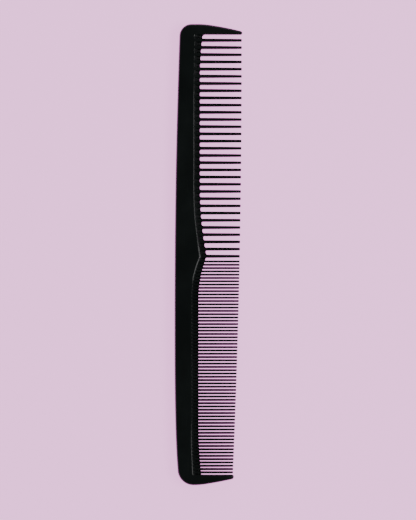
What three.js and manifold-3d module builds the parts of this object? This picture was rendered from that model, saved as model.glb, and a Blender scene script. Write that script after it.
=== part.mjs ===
// A barber's cutting comb: coarse teeth at one end and fine teeth at the other, on one thick back.
// Units are millimetres. The comb lies on its face: X runs across it, from the back to the tooth tips,
// Y runs along it, from the fine end to the coarse end, and Z is its thickness. The origin is under the
// middle of the comb, on the surface that it lies on.

import * as THREE from "three";
import { mergeVertices } from "three/addons/utils/BufferGeometryUtils.js";
import Module from "manifold-3d";

const wasm = await Module();
wasm.setup();

// ---- Driving dimensions ----

const HALF_LENGTH = 89;
const THICKNESS = 4;
const MIDDLE_Z = THICKNESS / 2;

// The end guards are the two stout outer teeth. A guard's inner side is straight, and its outer side bows: it
// bends for a short way, and then runs on in a wider arc. Its tip starts to round off at a turn short of its
// end.
const COARSE_GUARD = { innerY: 84.8, bowFromX: -4, tipX: 13.1, tipRadius: 0.6, turn: 1.3 };
const FINE_GUARD = { innerY: -84.87, bowFromX: -5.8, tipX: 9.85, tipRadius: 0.5, turn: 1.3 };
const BOW = { bendLength: 4.7, bendRadius: 32, radius: 110 };
const COARSE_CORNER = { x: -6.5, radius: 4.7 };
const FINE_CORNER = { x: -5.8, radius: 6.1 };

// The back's outer edge bows out by two millimetres, furthest a third of the way from the fine end. It is two
// cubic curves that meet at the crest, and these are their handles.
const BACK_CREST = { x: -13.1, y: -31 };
const CREST_HANDLE_Y = { fine: -60, coarse: 20 };
const FINE_CORNER_HANDLE = { x: -12.6, y: -75 };
const COARSE_CORNER_HANDLE = { x: -12.4, y: 50 };
const BACK_EDGE_ROUNDING = 1.2;
const BACK_EDGE_SEGMENTS = 4;

// A run of teeth: how many, how far apart, how wide a tooth is at its root and at its tip, and how round the
// corners of the gaps are.
const COARSE = { count: 31, pitch: 2.777, rootWidth: 1.28, tipWidth: 1.08, corner: 0.5, cornerSegments: 3 };
const FINE = { count: 65, pitch: 1.271, rootWidth: 0.84, tipWidth: 0.8, corner: 0.18, cornerSegments: 1 };
const TIP_CHAMFER = 0.12;

// From the coarse guard's inner side to the middle of the first tooth, and how round the corner between that
// gap and the guard is.
const FIRST_STEP = 2.13;
const GUARD_CORNER = 0.9;

// The gaps between the teeth begin at the line of roots, and the back steps down to the tooth field at the
// shoulder. Each is two lines that cross where the runs meet. A line is straight at x, and arcs take it
// towards the tips beyond its upper and lower places.
const ROOTS = {
  coarse: { x: -3.3, upperY: 68, upperRadius: 131, lowerY: 26, lowerRadius: 137 },
  fine: { x: -3.85, upperY: -17, upperRadius: 42.3, lowerY: -66, lowerRadius: 166 },
};
const SHOULDER = {
  coarse: { x: -5.67, upperY: 76, upperRadius: 131, lowerY: 26, lowerRadius: 147 },
  fine: { x: -6.58, upperY: -16, upperRadius: 33.8, lowerY: -68, lowerRadius: 250 },
};

// The tooth tips lie on one wide arc, which falls away from here towards the fine end.
const TIPS = { x: 12.93, fromY: 75, radius: 3750 };

// The tooth field and the guards thin towards the tips. These are half thicknesses, each at a place across
// the comb.
const FIELD_THICK = { x: -6.6, half: 1.9 };
const FIELD_THIN = { x: 13, half: 0.6 };
const GUARD_THINS_FROM_X = 3;
const GUARD_TIP_HALF = 0.9;

// Each gap runs out onto both faces as a gullet, which starts just short of the shoulder and deepens until
// half of the gap's root is this thick.
const GULLET_START = 0.3;
const GULLET_LAND = 0.45;

// How far cutting shapes reach past the comb, and how far apart the points of a long curved cut are.
const BEYOND = 30;
const JUST_PAST = 1;
const CUT_STEP = 2;
const BOW_STEPS = 8;
const CORNER_SEGMENTS = 8;

// ---- Lines along the comb ----

// How far an arc has left its tangent, this far past the point where they part.
function sag(past, radius) {
  return Math.max(past, 0) ** 2 / (2 * radius);
}

COARSE.topY = COARSE_GUARD.innerY;
COARSE.firstY = COARSE.topY - FIRST_STEP;
const LAST_COARSE_Y = COARSE.firstY - (COARSE.count - 1) * COARSE.pitch;

// The two runs meet on the flank of the last coarse tooth.
COARSE.bottomY = LAST_COARSE_Y - COARSE.rootWidth / 2;
FINE.topY = COARSE.bottomY;
FINE.firstY = LAST_COARSE_Y - (COARSE.pitch + FINE.pitch) / 2;
FINE.bottomY = FINE_GUARD.innerY;

function lineX(line, y) {
  return line.x + sag(y - line.upperY, line.upperRadius) + sag(line.lowerY - y, line.lowerRadius);
}

function rootX(y) {
  return Math.min(lineX(ROOTS.coarse, y), lineX(ROOTS.fine, y));
}

function shoulderX(y) {
  return Math.min(lineX(SHOULDER.coarse, y), lineX(SHOULDER.fine, y));
}

function tipX(y) {
  return TIPS.x - sag(TIPS.fromY - y, TIPS.radius);
}

// Half the thickness of the tooth field at a place across the comb.
function fieldHalf(x) {
  const along = (x - FIELD_THICK.x) / (FIELD_THIN.x - FIELD_THICK.x);
  return THREE.MathUtils.lerp(FIELD_THICK.half, FIELD_THIN.half, along);
}

// ---- Solids ----

function solid(geometry) {
  geometry.deleteAttribute("normal");
  geometry.deleteAttribute("uv");
  const merged = mergeVertices(geometry, 1e-4);
  const vertProperties = new Float32Array(merged.attributes.position.array);
  const triVerts = new Uint32Array(merged.index.array);
  return new wasm.Manifold(new wasm.Mesh({ numProp: 3, vertProperties, triVerts }));
}

function geometryOf(manifold) {
  const { vertProperties, triVerts, numProp } = manifold.getMesh();
  const geometry = new THREE.BufferGeometry();
  geometry.setAttribute("position", new THREE.BufferAttribute(vertProperties, numProp));
  geometry.setIndex(new THREE.BufferAttribute(triVerts, 1));
  geometry.computeVertexNormals();
  return geometry;
}

// A shape drawn in X and Y, which runs up and down past both faces of the comb.
function column(shape, curveSegments) {
  const options = { depth: 2 * BEYOND, bevelEnabled: false, curveSegments };
  const geometry = new THREE.ExtrudeGeometry(shape, options);
  return solid(geometry.translate(0, 0, -BEYOND));
}

// Shapes drawn in X and Z, with Z counted from mid thickness, that run along Y between two places.
function bar(shapes, lowY, highY) {
  const geometry = new THREE.ExtrudeGeometry(shapes, { depth: highY - lowY, bevelEnabled: false });
  return solid(geometry.rotateX(Math.PI / 2).translate(0, highY, MIDDLE_Z));
}

function polygon(points) {
  return new THREE.Shape(points.map(([u, v]) => new THREE.Vector2(u, v)));
}

// ---- The blank: the whole comb before its teeth are cut ----

// A guard's bowed side, at a place across the comb.
function bowY(guard, x) {
  const bendEndX = guard.bowFromX + BOW.bendLength;
  const bend = sag(x - guard.bowFromX, BOW.bendRadius) - sag(x - bendEndX, BOW.bendRadius);
  return Math.sign(guard.innerY) * (HALF_LENGTH - bend - sag(x - bendEndX, BOW.radius));
}

// Points along a guard's bowed side, from the corner of the back to past the tip.
function bowPoints(guard) {
  const points = [];
  for (let i = 0; i <= BOW_STEPS; i++) {
    const x = THREE.MathUtils.lerp(guard.bowFromX, guard.tipX + JUST_PAST, i / BOW_STEPS);
    points.push(new THREE.Vector2(x, bowY(guard, x)));
  }
  return points;
}

function blankShape() {
  const shape = new THREE.Shape(bowPoints(FINE_GUARD).reverse());
  const fineY = FINE_CORNER.radius - HALF_LENGTH;
  const coarseX = COARSE_CORNER.x - COARSE_CORNER.radius;
  const coarseY = HALF_LENGTH - COARSE_CORNER.radius;
  const { fine, coarse } = CREST_HANDLE_Y;
  const fineHandle = FINE_CORNER_HANDLE;
  const coarseHandle = COARSE_CORNER_HANDLE;
  const crest = BACK_CREST;
  shape.absarc(FINE_CORNER.x, fineY, FINE_CORNER.radius, -Math.PI / 2, -Math.PI, true);
  shape.bezierCurveTo(fineHandle.x, fineHandle.y, crest.x, fine, crest.x, crest.y);
  shape.bezierCurveTo(crest.x, coarse, coarseHandle.x, coarseHandle.y, coarseX, coarseY);
  shape.absarc(COARSE_CORNER.x, coarseY, COARSE_CORNER.radius, Math.PI, Math.PI / 2, true);
  for (const point of bowPoints(COARSE_GUARD)) shape.lineTo(point.x, point.y);
  return shape;
}

function blank() {
  const geometry = new THREE.ExtrudeGeometry(blankShape(), {
    depth: THICKNESS - 2 * BACK_EDGE_ROUNDING,
    bevelThickness: BACK_EDGE_ROUNDING,
    bevelSize: BACK_EDGE_ROUNDING,
    bevelOffset: -BACK_EDGE_ROUNDING,
    bevelSegments: BACK_EDGE_SEGMENTS,
    curveSegments: CORNER_SEGMENTS,
  });
  return solid(geometry.translate(0, 0, BACK_EDGE_ROUNDING));
}

// ---- Where the blank divides ----

// All that lies on the tooth side of the shoulder, beside one run of teeth.
function fieldRegion(run) {
  const steps = Math.ceil((run.topY - run.bottomY) / CUT_STEP);
  const points = [];
  for (let i = 0; i <= steps; i++) {
    const y = THREE.MathUtils.lerp(run.bottomY, run.topY, i / steps);
    points.push([shoulderX(y), y]);
  }
  points.push([BEYOND, run.topY], [BEYOND, run.bottomY]);
  return column(polygon(points), 1);
}

// All that lies past the shoulder at one end of the comb.
function endRegion(guard) {
  const outerY = Math.sign(guard.innerY) * BEYOND + guard.innerY;
  const startX = shoulderX(guard.innerY);
  const corners = [[startX, guard.innerY], [BEYOND, guard.innerY], [BEYOND, outerY], [startX, outerY]];
  return column(polygon(corners), 1);
}

// The same, with the guard's tip rounded off.
function guardRegion(guard) {
  const side = Math.sign(guard.innerY);
  const tipY = bowY(guard, guard.tipX);
  const shape = new THREE.Shape();
  shape.moveTo(shoulderX(guard.innerY), guard.innerY);
  shape.lineTo(guard.tipX - guard.tipRadius, guard.innerY);
  shape.quadraticCurveTo(guard.tipX, guard.innerY, guard.tipX, (guard.innerY + tipY) / 2);
  shape.quadraticCurveTo(guard.tipX, tipY, guard.tipX - guard.turn, bowY(guard, guard.tipX - guard.turn));
  shape.lineTo(guard.tipX - guard.turn, side * (HALF_LENGTH + JUST_PAST));
  shape.lineTo(shoulderX(guard.innerY), side * (HALF_LENGTH + JUST_PAST));
  return column(shape, CORNER_SEGMENTS);
}

// ---- Sub-parts ----

function back(regions) {
  return regions.reduce((body, region) => body.subtract(region), blank());
}

function endGuard(guard) {
  const profile = polygon([
    [-BEYOND, MIDDLE_Z],
    [GUARD_THINS_FROM_X, MIDDLE_Z],
    [guard.tipX, GUARD_TIP_HALF],
    [guard.tipX, -GUARD_TIP_HALF],
    [GUARD_THINS_FROM_X, -MIDDLE_Z],
    [-BEYOND, -MIDDLE_Z],
  ]);
  return blank().intersect(guardRegion(guard)).intersect(bar(profile, -HALF_LENGTH, HALF_LENGTH));
}

// The gaps of a run, from the top: the places along the comb where each one's two sides meet its root, and
// how round its upper corner is.
function gapsOf(run) {
  const gaps = [];
  let upperY = run.topY;
  for (let i = 0; i < run.count; i++) {
    const toothY = run.firstY - i * run.pitch;
    gaps.push({ upperY, lowerY: toothY + run.rootWidth / 2, upperCorner: run.corner });
    upperY = toothY - run.rootWidth / 2;
  }
  if (run === COARSE) gaps[0].upperCorner = GUARD_CORNER;
  if (run === FINE) gaps.push({ upperY, lowerY: run.bottomY, upperCorner: run.corner });
  return gaps;
}

function drawGapRoot(shape, { upperY, lowerY, upperCorner }, corner) {
  const upperX = rootX(upperY - upperCorner) + upperCorner;
  const lowerX = rootX(lowerY + corner) + corner;
  shape.absarc(upperX, upperY - upperCorner, upperCorner, Math.PI / 2, Math.PI, false);
  shape.absarc(lowerX, lowerY + corner, corner, Math.PI, 1.5 * Math.PI, false);
}

function drawTip(shape, run, toothY) {
  const x = tipX(toothY);
  const half = run.tipWidth / 2;
  shape.lineTo(x - TIP_CHAMFER, toothY + half);
  shape.lineTo(x, toothY + half - TIP_CHAMFER);
  shape.lineTo(x, toothY - half + TIP_CHAMFER);
  shape.lineTo(x - TIP_CHAMFER, toothY - half);
}

// The outline of a run of teeth. It starts and ends beyond its own field, where it is cut off.
function runShape(run) {
  const shape = new THREE.Shape();
  shape.moveTo(-BEYOND, run.topY + JUST_PAST);
  shape.lineTo(BEYOND, run.topY + JUST_PAST);
  gapsOf(run).forEach((gap, i) => {
    drawGapRoot(shape, gap, run.corner);
    if (i < run.count) drawTip(shape, run, run.firstY - i * run.pitch);
  });
  if (run === FINE) {
    shape.lineTo(BEYOND, run.bottomY - JUST_PAST);
  } else {
    shape.lineTo(rootX(run.bottomY), run.bottomY);
    shape.lineTo(rootX(run.bottomY), run.bottomY - JUST_PAST);
  }
  shape.lineTo(-BEYOND, run.bottomY - JUST_PAST);
  return shape;
}

// One gap's two gullets, above and below mid thickness.
function gullets(gap) {
  const middleY = (gap.upperY + gap.lowerY) / 2;
  const startX = shoulderX(middleY) + GULLET_START;
  const endX = rootX(middleY);
  const wedges = [1, -1].map((face) => polygon([
    [startX, face * fieldHalf(startX)],
    [endX, face * GULLET_LAND],
    [endX + JUST_PAST, face * GULLET_LAND],
    [endX + JUST_PAST, face * THICKNESS],
    [startX, face * THICKNESS],
  ]));
  return bar(wedges, gap.lowerY, gap.upperY);
}

function teeth(run, region) {
  const thinX = FIELD_THIN.x + JUST_PAST;
  const profile = polygon([
    [-BEYOND, fieldHalf(-BEYOND)],
    [thinX, fieldHalf(thinX)],
    [thinX, -fieldHalf(thinX)],
    [-BEYOND, -fieldHalf(-BEYOND)],
  ]);
  const outline = column(runShape(run), run.cornerSegments);
  const body = outline.intersect(region).intersect(bar(profile, -HALF_LENGTH, HALF_LENGTH));
  return gapsOf(run).reduce((cut, gap) => cut.subtract(gullets(gap)), body);
}

// ---- The comb ----

const blackPlastic = new THREE.MeshStandardMaterial({ color: 0x0c1010, roughness: 0.35, metalness: 0 });
const comb = new THREE.Group();

function addPart(name, manifold) {
  const mesh = new THREE.Mesh(geometryOf(manifold), blackPlastic.clone());
  mesh.name = name;
  comb.add(mesh);
}

const coarseField = fieldRegion(COARSE);
const fineField = fieldRegion(FINE);
addPart("back", back([coarseField, fineField, endRegion(COARSE_GUARD), endRegion(FINE_GUARD)]));
addPart("coarse_end_guard", endGuard(COARSE_GUARD));
addPart("fine_end_guard", endGuard(FINE_GUARD));
addPart("coarse_teeth", teeth(COARSE, coarseField));
addPart("fine_teeth", teeth(FINE, fineField));

export default comb;
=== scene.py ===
"""A black cutting comb on a pale floor, seen from straight above.

The comb is one plastic moulding, the same on both faces. Each piece here is a fine surface over one
region of it, and stands for that region's CAD node. A surface is worked out as a height above mid
thickness, then mirrored below it, so each piece closes along the mid-thickness outline. Sizes are in
millimetres until a mesh is made.
"""

import math

import bpy
import bmesh
import numpy as np
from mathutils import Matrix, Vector


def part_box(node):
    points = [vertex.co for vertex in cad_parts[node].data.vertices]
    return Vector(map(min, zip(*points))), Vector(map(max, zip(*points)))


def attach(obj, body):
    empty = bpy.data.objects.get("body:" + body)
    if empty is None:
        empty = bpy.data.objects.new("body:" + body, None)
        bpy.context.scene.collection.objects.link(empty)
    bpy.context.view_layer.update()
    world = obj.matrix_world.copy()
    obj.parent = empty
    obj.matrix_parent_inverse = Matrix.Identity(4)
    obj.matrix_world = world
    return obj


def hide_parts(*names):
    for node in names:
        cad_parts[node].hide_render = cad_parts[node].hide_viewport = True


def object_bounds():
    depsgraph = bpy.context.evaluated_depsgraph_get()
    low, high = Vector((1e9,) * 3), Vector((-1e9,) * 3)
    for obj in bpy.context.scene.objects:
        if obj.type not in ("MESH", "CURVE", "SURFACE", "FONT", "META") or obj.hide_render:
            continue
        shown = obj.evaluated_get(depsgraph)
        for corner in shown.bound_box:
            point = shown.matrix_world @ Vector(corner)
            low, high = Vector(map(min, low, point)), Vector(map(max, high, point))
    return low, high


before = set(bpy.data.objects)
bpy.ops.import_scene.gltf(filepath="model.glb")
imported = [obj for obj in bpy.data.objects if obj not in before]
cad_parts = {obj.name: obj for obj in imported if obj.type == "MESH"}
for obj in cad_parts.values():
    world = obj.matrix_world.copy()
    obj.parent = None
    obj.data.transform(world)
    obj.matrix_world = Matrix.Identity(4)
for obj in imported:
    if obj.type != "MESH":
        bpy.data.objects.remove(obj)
cad_low, cad_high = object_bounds()

MM = 0.001

# ---- Places that come from the frame ----

back_low, back_high = (np.array(corner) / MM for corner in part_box("back"))
_, coarse_high = (np.array(corner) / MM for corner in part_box("coarse_teeth"))
fine_low, _ = (np.array(corner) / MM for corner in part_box("fine_teeth"))
_, coarse_guard_high = (np.array(corner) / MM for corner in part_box("coarse_end_guard"))
_, fine_guard_high = (np.array(corner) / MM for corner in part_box("fine_end_guard"))

HALF_LENGTH = back_high[1]
MIDDLE_Z = (back_low[2] + back_high[2]) / 2
BACK_HALF = (back_high[2] - back_low[2]) / 2
EDGE_X = back_low[0]

# ---- Sizes that repeat the CAD model's ----

# The back's two rounded corners: the place of each arc's centre across the comb, and its radius.
COARSE_CORNER = (-6.5, 4.7)
FINE_CORNER = (-5.8, 6.1)

# The back's long edge is two cubic curves that meet at its crest, at CREST_Y. The rest are their handles.
CREST_Y = -31.0
CREST_HANDLE_Y = {"fine": -60, "coarse": 20}
FINE_CORNER_HANDLE = (-12.6, -75)
COARSE_CORNER_HANDLE = (-12.4, 50)

# Two places across the comb, and the tooth field's half thickness there.
FIELD_THICK = (-6.6, 1.9)
FIELD_THIN = (13.0, 0.6)

GUARD_THINS_FROM_X = 3.0
GUARD_TIP_HALF = 0.9
COARSE_BOW_FROM_X, FINE_BOW_FROM_X = -4.0, -5.8
BOW_BEND_LENGTH, BOW_BEND_RADIUS, BOW_RADIUS = 4.7, 32, 110

COARSE_COUNT, FINE_COUNT = 31, 65
COARSE_PITCH, COARSE_WIDTH, COARSE_TIP_WIDTH = 2.777, 1.28, 1.08
FINE_PITCH, FINE_WIDTH, FINE_TIP_WIDTH = 1.271, 0.84, 0.8

# The radius of a gap's corners in each run, and of the one beside the coarse guard.
COARSE_GAP_CORNER, FINE_GAP_CORNER, GUARD_CORNER = 0.5, 0.18, 0.9

# From the coarse guard's inner side to the middle of the first coarse tooth.
FIRST_STEP = 2.13

# The gaps begin at the line of roots, and the back steps down at the shoulder. Each of them is two lines
# that cross where the runs meet. A line is straight at x, and an arc leaves it towards the tips above its
# upper place and below its lower one. Each place is given with its arc's radius.
ROOTS = {
    "coarse": {"x": -3.3, "upper": (68, 131), "lower": (26, 137)},
    "fine": {"x": -3.85, "upper": (-17, 42.3), "lower": (-66, 166)},
}
SHOULDER = {
    "coarse": {"x": -5.67, "upper": (76, 131), "lower": (26, 147)},
    "fine": {"x": -6.58, "upper": (-16, 33.8), "lower": (-68, 250)},
}
TIPS_X, TIPS_FROM_Y, TIPS_RADIUS = 12.93, 75, 3750


class Guard:
    """A stout outer tooth. Its inner side is straight. Its outer side leaves the comb's end in a bend,
    and then bows more gently to the tip."""

    def __init__(self, name, inner_y, tip_x, bow_from_x):
        self.name = name
        self.inner_y = inner_y
        self.tip_x = tip_x
        self.bow_from_x = bow_from_x
        self.side = math.copysign(1, inner_y)

    def bow_y(self, x):
        bend_end_x = self.bow_from_x + BOW_BEND_LENGTH
        bend = sag(x - self.bow_from_x, BOW_BEND_RADIUS) - sag(x - bend_end_x, BOW_BEND_RADIUS)
        return self.side * (HALF_LENGTH - bend - sag(x - bend_end_x, BOW_RADIUS))


class Run:
    """A run of teeth from top_y down to bottom_y, the first of them centred on first_y. The gaps between
    them have rounded corners, made in corner_steps, and middle_columns on the flat between corners."""

    def __init__(self, name, count, pitch, root_width, tip_width, corner, corner_steps, middle_columns,
                 top_y, first_y, bottom_y):
        self.name = name
        self.count = count
        self.pitch = pitch
        self.root_width = root_width
        self.tip_width = tip_width
        self.corner = corner
        self.corner_steps = corner_steps
        self.middle_columns = middle_columns
        self.top_y = top_y
        self.first_y = first_y
        self.bottom_y = bottom_y


def sag(past, radius):
    """How far an arc has left its tangent, this far past the point where they part."""
    return np.maximum(past, 0) ** 2 / (2 * radius)


def smooth(low, high, value):
    """0 below low, 1 above high, and a smooth step between."""
    t = np.clip((value - low) / (high - low), 0, 1)
    return t * t * (3 - 2 * t)


coarse_guard = Guard("coarse_end_guard", coarse_high[1], coarse_guard_high[0], COARSE_BOW_FROM_X)
fine_guard = Guard("fine_end_guard", fine_low[1], fine_guard_high[0], FINE_BOW_FROM_X)

first_coarse_y = coarse_high[1] - FIRST_STEP
last_coarse_y = first_coarse_y - (COARSE_COUNT - 1) * COARSE_PITCH
first_fine_y = last_coarse_y - (COARSE_PITCH + FINE_PITCH) / 2
divide_y = last_coarse_y - COARSE_WIDTH / 2
coarse = Run("coarse_teeth", COARSE_COUNT, COARSE_PITCH, COARSE_WIDTH, COARSE_TIP_WIDTH,
             COARSE_GAP_CORNER, corner_steps=4, middle_columns=3,
             top_y=coarse_high[1], first_y=first_coarse_y, bottom_y=divide_y)
fine = Run("fine_teeth", FINE_COUNT, FINE_PITCH, FINE_WIDTH, FINE_TIP_WIDTH,
           FINE_GAP_CORNER, corner_steps=3, middle_columns=1,
           top_y=divide_y, first_y=first_fine_y, bottom_y=fine_low[1])


def line_x(line, y):
    (upper_y, upper_radius), (lower_y, lower_radius) = line["upper"], line["lower"]
    return line["x"] + sag(y - upper_y, upper_radius) + sag(lower_y - y, lower_radius)


def root_x(y):
    return np.minimum(line_x(ROOTS["coarse"], y), line_x(ROOTS["fine"], y))


def shoulder_x(y):
    return np.minimum(line_x(SHOULDER["coarse"], y), line_x(SHOULDER["fine"], y))


def tip_x(y):
    return TIPS_X - sag(TIPS_FROM_Y - y, TIPS_RADIUS)


def field_half(x):
    """Half the thickness of the tooth field at a place across the comb, along the teeth's ridges."""
    (thick_x, thick), (thin_x, thin) = FIELD_THICK, FIELD_THIN
    return thick + (thin - thick) * (x - thick_x) / (thin_x - thick_x)


# ---- From a height sheet to a closed mesh ----

# A point of a sheet that is no higher than this lies on mid thickness.
NO_HEIGHT = 1e-9

# In metres: points this near are joined, and edges this short are dissolved.
JOIN_WITHIN, DISSOLVE_WITHIN = 2e-7, 1e-8
SHARP_FROM = math.radians(50)


def mirrored_solid(name, sheet, faces):
    """sheet is rows of x, y and height above mid thickness. Where its border has a height, a wall joins
    it to its mirror image; where it has none, the two share their points."""
    sheet = np.array(sheet, float)
    count = len(sheet)
    flat = sheet[:, 2] < NO_HEIGHT
    below = np.where(flat, np.arange(count), np.arange(count) + count)
    points = np.concatenate([sheet, sheet * (1, 1, -1)])
    points[:, 2] += MIDDLE_Z
    used = set()
    for face in faces:
        used.update(zip(face, face[1:] + face[:1]))
    walls = []
    for a, b in used:
        if (b, a) not in used and not (flat[a] and flat[b]):
            walls.append(unrepeated([b, a, below[a], below[b]]))
    mirrored = [[below[i] for i in reversed(face)] for face in faces]
    all_faces = [list(map(int, face)) for face in faces + mirrored + sorted(walls)]
    mesh = bpy.data.meshes.new(name)
    mesh.from_pydata((points * MM).tolist(), [], all_faces)
    return finished_object(name, mesh)


def unrepeated(corners):
    """The corners of a face, each once."""
    return [int(c) for i, c in enumerate(corners) if c not in corners[:i]]


def finished_object(name, mesh):
    """Joins points that coincide, faces everything outwards and smooths all but the true edges."""
    bm = bmesh.new()
    bm.from_mesh(mesh)
    bmesh.ops.remove_doubles(bm, verts=bm.verts, dist=JOIN_WITHIN)
    bmesh.ops.dissolve_degenerate(bm, edges=bm.edges, dist=DISSOLVE_WITHIN)
    loose = [v for v in bm.verts if not v.link_faces]
    bmesh.ops.delete(bm, geom=loose, context="VERTS")
    bmesh.ops.recalc_face_normals(bm, faces=bm.faces)
    bm.to_mesh(mesh)
    bm.free()
    mesh.polygons.foreach_set("use_smooth", [True] * len(mesh.polygons))
    mesh.set_sharp_from_angle(angle=SHARP_FROM)
    piece = bpy.data.objects.new(name, mesh)
    bpy.context.scene.collection.objects.link(piece)
    return piece


def grid_faces(stations, rows):
    """Faces between neighbours, for points listed station by station."""
    faces = []
    for i in range(stations - 1):
        for j in range(rows - 1):
            a = i * rows + j
            faces.append([a, a + 1, a + rows + 1, a + rows])
    return faces


# ---- The back and the guards ----

# The long edges are rounded over this distance in from the outline. The power makes the rounding squarer
# than an ellipse, which has 2.
EDGE_RADIUS = 1.05
EDGE_POWER = 2.5
EDGE_STEPS = 10

# The mould's parting line: how far it stands out, and half its height. Its face is flat up to a share of
# that half height and slopes back above it. The rounded edge's points are at least PARTING_CLEAR half
# heights up.
PARTING_OUT = 0.025
PARTING_HALF = 0.04
PARTING_FLAT_SHARE = 0.6
PARTING_CLEAR = 1.3

# The shoulder's rounded rim: a place along the comb, from the fine end up, how far down the rim goes
# there and how wide it is.
RIM_WIDTH = 0.36
RIM = (
    (-76, 0.085, RIM_WIDTH), (-62, 0.026, RIM_WIDTH), (-40, 0.022, RIM_WIDTH), (-11.5, 0.032, RIM_WIDTH),
    (-8.5, 0.12, 0.45), (-4.5, 0.16, 0.55), (-1.5, 0.18, 0.6), (4, 0.062, RIM_WIDTH),
    (62, 0.068, RIM_WIDTH), (72, 0.025, RIM_WIDTH), (83.5, 0.02, RIM_WIDTH), (84.1, 0.09, RIM_WIDTH),
)


def edge_profile(radius, half):
    """Points of a rounded edge, from mid thickness up: how far in from the outline, and how high."""
    face_half = PARTING_HALF * PARTING_FLAT_SHARE
    points = [(-PARTING_OUT, 0.0), (-PARTING_OUT, face_half), (0.0, PARTING_HALF)]
    for i in range(1, EDGE_STEPS + 1):
        angle = math.pi / 2 * i / EDGE_STEPS
        inward = radius * (1 - math.cos(angle) ** (2 / EDGE_POWER))
        up = half * math.sin(angle) ** (2 / EDGE_POWER)
        points.append((inward, max(up, PARTING_HALF * PARTING_CLEAR)))
    return points


def rim_depth(y):
    places, depths, _ = zip(*RIM)
    return float(np.interp(y, places, depths))


def rim_width(y):
    places, _, widths = zip(*RIM)
    return float(np.interp(y, places, widths))


def bezier(points, t):
    """A point on a cubic curve."""
    a, b, c, d = (np.array(p, float) for p in points)
    u = 1 - t
    return u ** 3 * a + 3 * u * u * t * b + 3 * u * t * t * c + t ** 3 * d


def corner_points(corner, side, steps):
    """Outline points round one corner of the back, from its end edge to its long edge."""
    x, radius = corner
    y = side * (HALF_LENGTH - radius)
    angles = [math.pi / 2 * (1 + i / steps) for i in range(steps + 1)]
    return [(x + radius * math.cos(a), y + side * radius * math.sin(a)) for a in angles]


# How much of long_edge's fraction the coarse side of the crest takes.
COARSE_EDGE_SHARE = 0.67


def long_edge(fraction):
    """A point on the back's long edge: 0 is at the coarse corner, 1 at the fine one."""
    coarse_x, coarse_radius = COARSE_CORNER
    fine_x, fine_radius = FINE_CORNER
    start = (coarse_x - coarse_radius, HALF_LENGTH - coarse_radius)
    finish = (fine_x - fine_radius, fine_radius - HALF_LENGTH)
    crest = (EDGE_X, CREST_Y)
    if fraction < COARSE_EDGE_SHARE:
        handles = COARSE_CORNER_HANDLE, (EDGE_X, CREST_HANDLE_Y["coarse"])
        return bezier([start, *handles, crest], fraction / COARSE_EDGE_SHARE)
    handles = (EDGE_X, CREST_HANDLE_Y["fine"]), FINE_CORNER_HANDLE
    return bezier([crest, *handles, finish], (fraction - COARSE_EDGE_SHARE) / (1 - COARSE_EDGE_SHARE))


CORNER_STEPS = 14
SIDE_STEPS = 220

# Where the back has its points between the rounded edge and the rim, as shares of the way, and across the
# rim, as shares of its width back from the shoulder.
FLAT_SHARES = (0.25, 0.5, 0.75, 1)
RIM_SHARES = (0.8, 0.6, 0.4, 0.2, 0)


def back_stations():
    """Pairs of an outline point and the point across from it, where the tooth field or a guard begins."""
    top = (float(shoulder_x(coarse_guard.inner_y)), coarse_guard.inner_y)
    bottom = (float(shoulder_x(fine_guard.inner_y)), fine_guard.inner_y)
    pairs = [((top[0], coarse_guard.bow_y(top[0])), top)]
    pairs += [(p, top) for p in corner_points(COARSE_CORNER, 1, CORNER_STEPS)]
    for i in range(1, SIDE_STEPS):
        fraction = i / SIDE_STEPS
        y = top[1] + (bottom[1] - top[1]) * fraction
        pairs.append((tuple(long_edge(fraction)), (float(shoulder_x(y)), y)))
    fine_corner = reversed(corner_points(FINE_CORNER, -1, CORNER_STEPS))
    pairs += [(p, bottom) for p in fine_corner if p[0] < bottom[0]]
    pairs.append(((bottom[0], fine_guard.bow_y(bottom[0])), bottom))
    return pairs


def make_back():
    pairs = back_stations()
    outline = np.array([p for p, _ in pairs], float)
    inner = np.array([q for _, q in pairs], float)
    along = np.gradient(outline, axis=0)
    along[0], along[-1] = (-1, 0), (1, 0)
    along /= np.linalg.norm(along, axis=1)[:, None]
    inward = np.stack([-along[:, 1], along[:, 0]], axis=1)
    profile = edge_profile(EDGE_RADIUS, BACK_HALF)
    sheet = []
    for p, q, n in zip(outline, inner, inward):
        for distance, height in profile:
            sheet.append((*(p + n * distance), height))
        start = p + n * EDGE_RADIUS
        span = np.linalg.norm(q - start)
        rim = rim_width(q[1])
        lead = max(span - rim, 0)
        for share in FLAT_SHARES:
            sheet.append((*(start + (q - start) / span * lead * share), BACK_HALF))
        for share in RIM_SHARES:
            rounded = rim_depth(q[1]) * (1 - share) ** 2
            sheet.append((*(q - (q - start) / span * rim * share), BACK_HALF - rounded))
    rows = len(sheet) // len(pairs)
    return mirrored_solid("back_surface", sheet, grid_faces(len(pairs), rows))


# A guard's inner edge is rounded down by GUARD_ROUNDING, and its inner side leans in by GUARD_LEAN at
# full thickness. Beyond the line of roots it stands free, and both grow by the FREE amounts between two
# places that are given from that line.
GUARD_ROUNDING, FREE_ROUNDING = 0.09, 0.3
GUARD_LEAN, FREE_LEAN = 0.002, 0.08
FREE_FROM, FREE_BY = -0.4, 1.2

# The most that a rounded edge takes of a guard's width, on its inner and outer sides, and of its half
# thickness.
INNER_EDGE_SHARE, OUTER_EDGE_SHARE, ROUNDING_SHARE = 0.35, 0.6, 0.5
INNER_EDGE_STEPS = 6
GUARD_FLAT_SHARES = (0.33, 0.67)

# The parting line shrinks where the guard's half thickness is under this many times its own.
PARTING_SHRINKS_UNDER = 3

GUARD_TAPER_POWER = 1.4
GUARD_TIP_LENGTH = 0.75
GUARD_TIP_THIN_POWER, GUARD_TIP_NARROW_POWER = 2.4, 2.2
GUARD_BODY_STATIONS, GUARD_TIP_STATIONS = 60, 12


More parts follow.
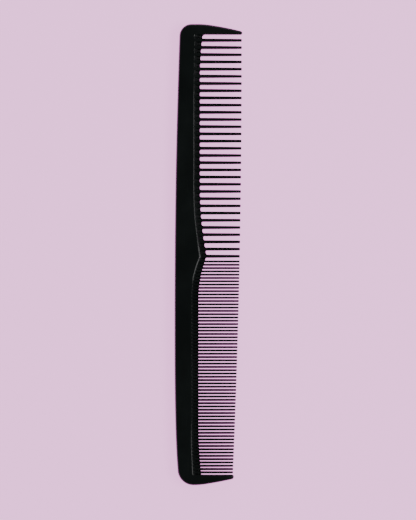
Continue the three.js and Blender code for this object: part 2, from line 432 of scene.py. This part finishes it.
def guard_half(guard, x):
    """Half the thickness of a guard's flat faces."""
    along = (x - GUARD_THINS_FROM_X) / (guard.tip_x - GUARD_THINS_FROM_X)
    taper = np.clip(along, 0, 1) ** GUARD_TAPER_POWER
    half = BACK_HALF + (GUARD_TIP_HALF - BACK_HALF) * taper
    past = np.clip((x - (guard.tip_x - GUARD_TIP_LENGTH)) / GUARD_TIP_LENGTH, 0, 1)
    return half * math.sqrt(max(1 - past ** GUARD_TIP_THIN_POWER, 0))


def make_guard(guard):
    start_x = float(shoulder_x(guard.inner_y))
    free_x = root_x(guard.inner_y)
    tip_from = guard.tip_x - GUARD_TIP_LENGTH
    body = np.linspace(start_x, tip_from, GUARD_BODY_STATIONS)
    tip = tip_from + GUARD_TIP_LENGTH * np.sin(np.linspace(0, math.pi / 2, GUARD_TIP_STATIONS))[1:]
    sheet = []
    for x in [*body, *tip]:
        past = max(x - tip_from, 0) / GUARD_TIP_LENGTH
        shrink = math.sqrt(max(1 - past ** GUARD_TIP_NARROW_POWER, 0))
        inner, outer = guard.inner_y, guard.bow_y(min(x, tip_from))
        outer_now = guard.bow_y(x)
        middle = (inner + (outer + outer_now) / 2) / 2
        inner = middle + (inner - middle) * shrink
        outer = middle + (outer_now - middle) * shrink
        width = abs(outer - inner)
        half = guard_half(guard, x)
        free = smooth(free_x + FREE_FROM, free_x + FREE_BY, x)
        round_across = min(RIM_WIDTH, INNER_EDGE_SHARE * width)
        round_down = min(GUARD_ROUNDING + free * FREE_ROUNDING, ROUNDING_SHARE * half)
        lean = (GUARD_LEAN + FREE_LEAN * free) * half / BACK_HALF
        rows = [(0.0, 0.0), (lean / 2, (half - round_down) / 2), (lean, half - round_down)]
        for i in range(1, INNER_EDGE_STEPS + 1):
            share = i / INNER_EDGE_STEPS
            rows.append((lean + (round_across - lean) * share, half - round_down * (1 - share) ** 2))
        outer_radius = min(EDGE_RADIUS, OUTER_EDGE_SHARE * width)
        flat_from, flat_to = round_across, width - outer_radius
        for share in GUARD_FLAT_SHARES:
            rows.append((flat_from + (flat_to - flat_from) * share, half))
        scale = min(1, half / PARTING_HALF / PARTING_SHRINKS_UNDER)
        for distance, height in reversed(edge_profile(outer_radius, half)):
            if distance <= 0:
                distance, height = distance * scale, height * scale
            rows.append((width - distance, min(height, half)))
        for across, height in rows:
            sheet.append((x, inner + guard.side * across, height))
    stations = len(body) + len(tip)
    rows = len(sheet) // stations
    return mirrored_solid(guard.name + "_surface", sheet, grid_faces(stations, rows))


# ---- The teeth and the bed that they stand on ----

# A tooth's section, as shares of its half width: how far in its drafted side leans, and how round its
# edge is.
SIDE_LEAN = 0.04
EDGE_ROUND = 0.24
ROUND_STEPS = 4

# A tooth narrows to its tip, and its last TIP_LENGTH is rounded off, in width and in thickness.
TOOTH_TAPER_POWER = 1.4
TIP_LENGTH = 0.35
TIP_NARROW_POWER, TIP_THIN_POWER = 3, 2.2
TOOTH_STEPS = 14
TIP_STEPS = 6

# A gullet's floor starts at a share of the bed's width from the shoulder. It falls away from the ridge at
# a mean slope, a little steeper as it goes, and runs alongside the ridge from GULLET_LEVEL_BY of the
# bed's width at the latest. At the line of roots its half thickness is GULLET_LAND. Over its last
# GULLET_END it is rounded down to mid thickness. Towards a tooth, a fillet raises it by up to a share of
# the tooth's side.
GULLET_START = 0.06
GULLET_SLOPE = 0.68
GULLET_POWER = 1.06
GULLET_LAND = 0.2
GULLET_LEVEL_BY = 0.96
GULLET_END = 0.1
GULLET_FILLET, FILLET_POWER = 0.3, 4

# The most that a tooth's rounded edge takes of its side's height, and that the points of a gullet's
# rounded end take of the part beyond its fall.
WALL_SHARE, END_SHARE = 0.8, 0.8

# Where a column across the bed has its points: shares of the way to the gullet's start, of the gullet's
# fall, of the part beyond it, and of the rounding at its end, counted back.
TO_START_STEPS = (0, 0.35, 0.7)
FALL_STEPS = (0, 0.03, 0.1, 0.25, 0.45, 0.65, 0.85, 0.97, 1)
LEVEL_STEP = 0.1
END_STEPS = (1, 0.6, 0.25, 0.07, 0)


def section_shares():
    """Half of a tooth's section, from the top of its side to its ridge: how far in from the outline, and
    how far below the ridge, both as shares of the half width."""
    shares = []
    for i in range(ROUND_STEPS + 1):
        angle = math.pi / 2 * i / ROUND_STEPS
        inward = SIDE_LEAN + EDGE_ROUND * (1 - math.cos(angle))
        shares.append((inward, EDGE_ROUND * (1 - math.sin(angle))))
    shares.append((1.0, 0.0))
    return shares


class Column:
    """A line of points across the bed, at one place along the comb. In a gap, gap_share is how much of
    the way it is from the gap's middle to its side. On a tooth, drop is how far it is below the ridge,
    and drop_share is that as a share of the rounded edge's own height."""

    def __init__(self, y, end_x, gap_share=None, drop=None, drop_share=None):
        self.y = y
        self.end_x = end_x
        self.gap_share = gap_share
        self.drop = drop
        self.drop_share = drop_share
        self.start_x = float(shoulder_x(y))
        self.length = float(root_x(y)) - self.start_x
        self.top = BACK_HALF - rim_depth(y)
        self.slope = 2 * rim_depth(y) / rim_width(y)
        self.full_drop = self.ridge(self.start_x + self.length) - GULLET_LAND
        self.fall = min(self.full_drop / (GULLET_SLOPE * self.length), GULLET_LEVEL_BY - GULLET_START)

    def ridge(self, x):
        """The height of a tooth's ridge, carried on across the bed to where it rises to the shoulder."""
        above = self.top - field_half(self.start_x)
        field_slope = field_half(self.start_x) - field_half(self.start_x + 1)
        fade = 2 * above / (self.slope - field_slope)
        return field_half(x) + above * max(0, 1 - (x - self.start_x) / fade) ** 2

    def gullet(self, x):
        """The height of a gullet's floor, from the shoulder to where the gap begins."""
        past = (x - self.start_x) / self.length
        share = min(max(past - GULLET_START, 0) / self.fall, 1)
        floor = self.ridge(x) - self.full_drop * share ** GULLET_POWER
        if self.gap_share is not None:
            floor += (self.ridge(x) - floor) * GULLET_FILLET * self.gap_share ** FILLET_POWER
        to_end = min((self.end_x - x) / GULLET_END, 1)
        return floor * math.sqrt(max(1 - (1 - to_end) ** 2, 0))

    def height(self, x):
        if self.gap_share is not None:
            return self.gullet(x)
        wall = self.ridge(x) - self.gullet(x)
        return self.ridge(x) - min(self.drop, WALL_SHARE * wall * self.drop_share)

    def places(self):
        """The places across the bed where this column has its points."""
        gullet_x = self.start_x + GULLET_START * self.length
        level_x = gullet_x + self.fall * self.length
        rest = self.end_x - level_x
        places = [self.start_x + (gullet_x - self.start_x) * step for step in TO_START_STEPS]
        places += [gullet_x + (level_x - gullet_x) * step for step in FALL_STEPS]
        places.append(level_x + rest * LEVEL_STEP)
        places += [self.end_x - min(GULLET_END, END_SHARE * rest) * step for step in END_STEPS]
        return places


def corner_offsets(corner, steps):
    """Places round a gap's corner, from the tooth's side to the gap's root: how far into the gap, and how
    far beyond the line of roots."""
    turns = [math.pi / 2 * i / steps for i in range(steps + 1)]
    return [(corner * (1 - math.cos(turn)), corner * (1 - math.sin(turn))) for turn in turns]


def gap_columns(run, upper_y, lower_y):
    """Columns across a gap, both of its sides included. They end on its rounded corners and on the line
    of roots. The gap beside the coarse guard has a larger corner there."""
    upper_corner = GUARD_CORNER if upper_y == coarse.top_y else run.corner
    flat = upper_y - lower_y - upper_corner - run.corner
    upper_offsets = corner_offsets(upper_corner, run.corner_steps)
    lower_offsets = corner_offsets(run.corner, run.corner_steps)
    places = [(upper_y - inward, beyond) for inward, beyond in upper_offsets]
    for i in range(1, run.middle_columns + 1):
        places.append((upper_y - upper_corner - flat * i / (run.middle_columns + 1), 0.0))
    places += [(lower_y + inward, beyond) for inward, beyond in reversed(lower_offsets)]
    middle = (upper_y + lower_y) / 2
    half = (upper_y - lower_y) / 2
    return [Column(y, float(root_x(y)) + beyond, gap_share=abs(y - middle) / half)
            for y, beyond in places]


def tooth_section(half_width):
    """Points across a whole tooth, strictly between its two sides: the place from the tooth's middle, the
    drop below the ridge, and that drop as a share of the rounded edge's own height."""
    upper = [(half_width * (1 - inward), half_width * drop, drop / EDGE_ROUND)
             for inward, drop in section_shares()]
    lower = [(-y, drop, share) for y, drop, share in reversed(upper[:-1])]
    return upper + lower


def make_teeth(run):
    """One run's bed and teeth."""
    columns = []
    spans = []
    upper_y = run.top_y
    half = run.root_width / 2
    for index in range(run.count):
        middle = run.first_y - index * run.pitch
        columns += gap_columns(run, upper_y, middle + half)
        first = len(columns) - 1
        for offset, drop, share in tooth_section(half):
            y = middle + offset
            columns.append(Column(y, float(root_x(y)) + run.corner, drop=drop, drop_share=share))
        spans.append((first, len(columns), middle))
        upper_y = middle - half
    if run is fine:
        columns += gap_columns(run, upper_y, run.bottom_y)
    else:
        columns.append(Column(upper_y, float(root_x(upper_y)) + run.corner, gap_share=1.0))
    sheet = [(x, column.y, column.height(x)) for column in columns for x in column.places()]
    rows = len(sheet) // len(columns)
    faces = grid_faces(len(columns), rows)
    for first, last, middle in spans:
        ends = [i * rows + rows - 1 for i in range(first, last + 1)]
        faces += add_tooth(run, sheet, ends, middle)
    return mirrored_solid(run.name + "_surface", sheet, faces)


def add_tooth(run, sheet, ends, middle):
    """Adds a tooth's points to the sheet, from its root to its tip, and returns its faces. ends are the
    points that the bed's columns end in, from the tooth's upper side to its lower. The tooth's outermost
    points lie at mid thickness, so they have no drop."""
    tip_from = float(tip_x(middle)) - TIP_LENGTH
    stations = [(share, 0.0) for share in np.linspace(0, 1, TOOTH_STEPS)[1:]]
    stations += [(1.0, math.sin(turn)) for turn in np.linspace(0, math.pi / 2, TIP_STEPS + 1)[1:]]
    bases = [sheet[end][0] for end in ends]
    previous = ends
    faces = []
    for share, past in stations:
        narrowed = math.sqrt(max(1 - past ** TIP_NARROW_POWER, 0))
        thinned = math.sqrt(max(1 - past ** TIP_THIN_POWER, 0))
        taper = share ** TOOTH_TAPER_POWER
        half_width = (run.root_width + (run.tip_width - run.root_width) * taper) / 2
        section = [(half_width, None, 1), *tooth_section(half_width), (-half_width, None, 1)]
        here = []
        for base, (offset, drop, _) in zip(bases, section):
            x = base + (tip_from - base) * share + TIP_LENGTH * past
            height = 0 if drop is None else (field_half(x) - drop) * thinned
            here.append(len(sheet))
            sheet.append((x, middle + offset * narrowed, height))
        for j in range(len(here) - 1):
            faces.append([previous[j], here[j], here[j + 1], previous[j + 1]])
        previous = here
    return faces


# ---- Materials ----

# The scratches run along the comb, a few degrees off: noise that is stretched along it, cut off so that
# only its peaks show. They roughen the gloss and are cut into the grain's relief.
SCRATCH_TURN = math.radians(4)
SCRATCH_STRETCH = (1, 0.03, 1)
SCRATCH_FROM, SCRATCH_BY = 0.6, 0.72
SCRATCH_ROUGHNESS = 0.14
SCRATCH_RELIEF = -0.8


def plastic_material():
    """Black moulded plastic: satin, with faint handling scratches along it and cloudy rubbed patches."""
    material = bpy.data.materials.new("black_plastic")
    material.use_nodes = True
    nodes, links = material.node_tree.nodes, material.node_tree.links
    shader = nodes["Principled BSDF"]
    shader.inputs["IOR"].default_value = 1.5
    shader.inputs["Specular IOR Level"].default_value = 0.35
    place = nodes.new("ShaderNodeTexCoord")

    patches = nodes.new("ShaderNodeTexNoise")
    patches.inputs["Scale"].default_value = 70
    patches.inputs["Detail"].default_value = 5
    links.new(place.outputs["Object"], patches.inputs["Vector"])

    stretch = nodes.new("ShaderNodeMapping")
    stretch.inputs["Scale"].default_value = SCRATCH_STRETCH
    stretch.inputs["Rotation"].default_value = (0, 0, SCRATCH_TURN)
    links.new(place.outputs["Object"], stretch.inputs["Vector"])
    lines = nodes.new("ShaderNodeTexNoise")
    lines.inputs["Scale"].default_value = 2200
    lines.inputs["Detail"].default_value = 3
    links.new(stretch.outputs["Vector"], lines.inputs["Vector"])
    scratches = nodes.new("ShaderNodeMapRange")
    scratches.inputs["From Min"].default_value = SCRATCH_FROM
    scratches.inputs["From Max"].default_value = SCRATCH_BY
    links.new(lines.outputs["Fac"], scratches.inputs["Value"])

    grain = nodes.new("ShaderNodeTexNoise")
    grain.inputs["Scale"].default_value = 4500
    grain.inputs["Detail"].default_value = 2
    links.new(place.outputs["Object"], grain.inputs["Vector"])

    tone = nodes.new("ShaderNodeValToRGB")
    tone.color_ramp.elements[0].position = 0.35
    tone.color_ramp.elements[0].color = (0.003, 0.0048, 0.0045, 1)
    tone.color_ramp.elements[1].position = 0.7
    tone.color_ramp.elements[1].color = (0.009, 0.0122, 0.0116, 1)
    links.new(patches.outputs["Fac"], tone.inputs["Fac"])
    links.new(tone.outputs["Color"], shader.inputs["Base Color"])

    gloss = nodes.new("ShaderNodeMapRange")
    gloss.inputs["From Min"].default_value = 0.3
    gloss.inputs["From Max"].default_value = 0.75
    gloss.inputs["To Min"].default_value = 0.2
    gloss.inputs["To Max"].default_value = 0.3
    links.new(patches.outputs["Fac"], gloss.inputs["Value"])
    rubbed = nodes.new("ShaderNodeMath")
    rubbed.operation = "MULTIPLY_ADD"
    rubbed.inputs[1].default_value = SCRATCH_ROUGHNESS
    links.new(scratches.outputs["Result"], rubbed.inputs[0])
    links.new(gloss.outputs["Result"], rubbed.inputs[2])
    links.new(rubbed.outputs["Value"], shader.inputs["Roughness"])

    relief = nodes.new("ShaderNodeMath")
    relief.operation = "MULTIPLY_ADD"
    relief.inputs[1].default_value = SCRATCH_RELIEF
    links.new(scratches.outputs["Result"], relief.inputs[0])
    links.new(grain.outputs["Fac"], relief.inputs[2])
    bump = nodes.new("ShaderNodeBump")
    bump.inputs["Strength"].default_value = 0.2
    bump.inputs["Distance"].default_value = 0.00002
    links.new(relief.outputs["Value"], bump.inputs["Height"])
    links.new(bump.outputs["Normal"], shader.inputs["Normal"])
    return material


def floor_material():
    """A plain pale sheet that glows a little, as a lit table does."""
    material = bpy.data.materials.new("pale_floor")
    material.use_nodes = True
    shader = material.node_tree.nodes["Principled BSDF"]
    shader.inputs["Base Color"].default_value = (0.8, 0.42, 0.7, 1)
    shader.inputs["Roughness"].default_value = 0.9
    shader.inputs["Specular IOR Level"].default_value = 0.1
    shader.inputs["Emission Color"].default_value = (1, 0.42, 0.87, 1)
    shader.inputs["Emission Strength"].default_value = 1.7
    return material


# ---- Stage, in metres ----

FLOOR_REACH = 12.0
FLOOR_BELOW = 0.0001

# The camera is far above the comb, so the view is close to a parallel one. It is a little off the comb's
# middle, as the photograph is, and the picture's height takes in SEEN_HEIGHT.
CAMERA_X, CAMERA_Y = -0.00017, -0.00208
CAMERA_DISTANCE = 1.0
SEEN_HEIGHT = 0.20072


def make_floor():
    corners = [(-FLOOR_REACH, -FLOOR_REACH, 0), (FLOOR_REACH, -FLOOR_REACH, 0),
               (FLOOR_REACH, FLOOR_REACH, 0), (-FLOOR_REACH, FLOOR_REACH, 0)]
    mesh = bpy.data.meshes.new("floor")
    mesh.from_pydata(corners, [], [(0, 1, 2, 3)])
    floor = bpy.data.objects.new("floor", mesh)
    floor.location.z = cad_low.z - FLOOR_BELOW
    mesh.materials.append(floor_material())
    bpy.context.scene.collection.objects.link(floor)


def add_light(name, place, size, power):
    """A soft rectangular white light that faces the middle of the comb."""
    data = bpy.data.lights.new(name, "AREA")
    data.shape = "RECTANGLE"
    data.size, data.size_y = size
    data.energy = power
    light = bpy.data.objects.new(name, data)
    light.location = place
    light.rotation_euler = (-Vector(place)).to_track_quat("-Z", "Y").to_euler()
    bpy.context.scene.collection.objects.link(light)


def light_scene():
    add_light("high_soft_box", place=(0.66, -0.05, 0.6), size=(0.6, 0.3), power=2.6)
    add_light("end_soft_box", place=(0.1, 1.0, 0.6), size=(0.8, 0.4), power=1.5)
    bpy.context.scene.world = surroundings()


def surroundings():
    """A dim, even room, pale along the horizon."""
    world = bpy.data.worlds.new("soft_surroundings")
    world.use_nodes = True
    nodes, links = world.node_tree.nodes, world.node_tree.links
    place = nodes.new("ShaderNodeTexCoord")
    split = nodes.new("ShaderNodeSeparateXYZ")
    links.new(place.outputs["Generated"], split.inputs["Vector"])
    shade = nodes.new("ShaderNodeValToRGB")
    shade.color_ramp.interpolation = "EASE"
    shade.color_ramp.elements[0].position = 0.05
    shade.color_ramp.elements[0].color = (0.85, 0.6, 0.78, 1)
    shade.color_ramp.elements[1].position = 0.12
    shade.color_ramp.elements[1].color = (0.14, 0.155, 0.153, 1)
    links.new(split.outputs["Z"], shade.inputs["Fac"])
    links.new(shade.outputs["Color"], nodes["Background"].inputs["Color"])
    return world


def make_camera():
    """Straight above, through a long lens, with the coarse end at the top of the picture."""
    data = bpy.data.cameras.new("camera")
    data.sensor_width = 36
    data.lens = data.sensor_width * CAMERA_DISTANCE / SEEN_HEIGHT
    camera = bpy.data.objects.new("camera", data)
    camera.location = (CAMERA_X, CAMERA_Y, MIDDLE_Z * MM + CAMERA_DISTANCE)
    bpy.context.scene.collection.objects.link(camera)
    bpy.context.scene.camera = camera


make_camera()
light_scene()
make_floor()

plastic = plastic_material()
surfaces = {
    "back": make_back(),
    "coarse_end_guard": make_guard(coarse_guard),
    "fine_end_guard": make_guard(fine_guard),
    "coarse_teeth": make_teeth(coarse),
    "fine_teeth": make_teeth(fine),
}
for node, piece in surfaces.items():
    piece.data.materials.append(plastic)
    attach(piece, "root")
    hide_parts(node)
